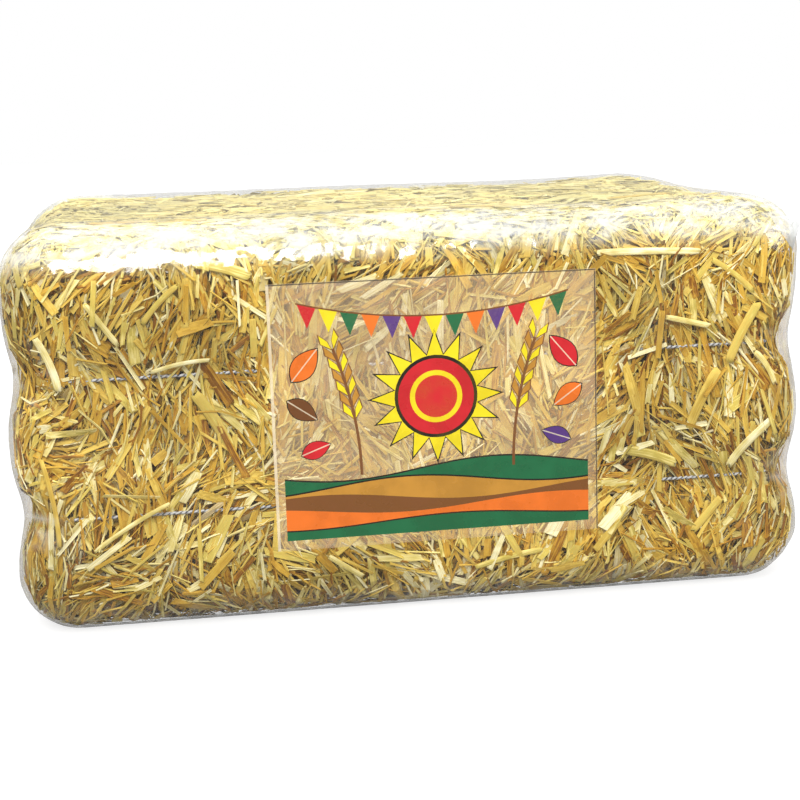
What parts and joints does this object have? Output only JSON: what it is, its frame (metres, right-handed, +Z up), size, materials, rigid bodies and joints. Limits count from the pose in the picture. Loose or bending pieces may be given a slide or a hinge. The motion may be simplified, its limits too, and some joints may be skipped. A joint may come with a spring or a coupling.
{
  "type": "straw bale",
  "caption": "Small display bale of pressed chopped straw, tied with twine, sealed in clear shrink film with a see-through printed label on its front.",
  "frame": {"origin": "middle of the underside, on the surface that the bale rests on", "axes": "+X along the bale, +Y towards its back (the label faces -Y), +Z up"},
  "size_m": [0.4055, 0.2794, 0.203],
  "materials": {
    "pressed_straw": "matte pale gold chopped straw",
    "loose_straw": "satin dry straw stalks, cream to gold",
    "twine": "thin two-ply twine, grey-white with dark flecks",
    "film": "clear glossy shrink film, slightly hazy at folds and seams",
    "label": null
  },
  "bodies": {
    "root": {"label": "label", "lower_tie": "twine", "shrink_film": "film", "stalk_back_01": "loose_straw", "stalk_back_02": "loose_straw", "stalk_back_03": "loose_straw", "stalk_back_04": "loose_straw", "stalk_back_05": "loose_straw", "stalk_front_01": "loose_straw", "stalk_front_02": "loose_straw", "stalk_front_03": "loose_straw", "stalk_front_04": "loose_straw", "stalk_front_05": "loose_straw", "stalk_front_06": "loose_straw", "stalk_front_07": "loose_straw", "stalk_front_08": "loose_straw", "stalk_front_09": "loose_straw", "stalk_front_10": "loose_straw", "stalk_front_11": "loose_straw", "stalk_front_12": "loose_straw", "stalk_front_13": "loose_straw", "stalk_front_14": "loose_straw", "stalk_front_15": "loose_straw", "stalk_front_16": "loose_straw", "stalk_front_17": "loose_straw", "stalk_front_18": "loose_straw", "stalk_front_19": "loose_straw", "stalk_left_01": "loose_straw", "stalk_left_02": "loose_straw", "stalk_left_03": "loose_straw", "stalk_right_01": "loose_straw", "stalk_right_02": "loose_straw", "stalk_right_03": "loose_straw", "stalk_top_01": "loose_straw", "stalk_top_02": "loose_straw", "stalk_top_03": "loose_straw", "stalk_top_04": "loose_straw", "stalk_top_05": "loose_straw", "stalk_top_06": "loose_straw", "stalk_top_07": "loose_straw", "stalk_top_08": "loose_straw", "straw_block": "pressed_straw", "upper_tie": "twine"}
  },
  "joints": []
}
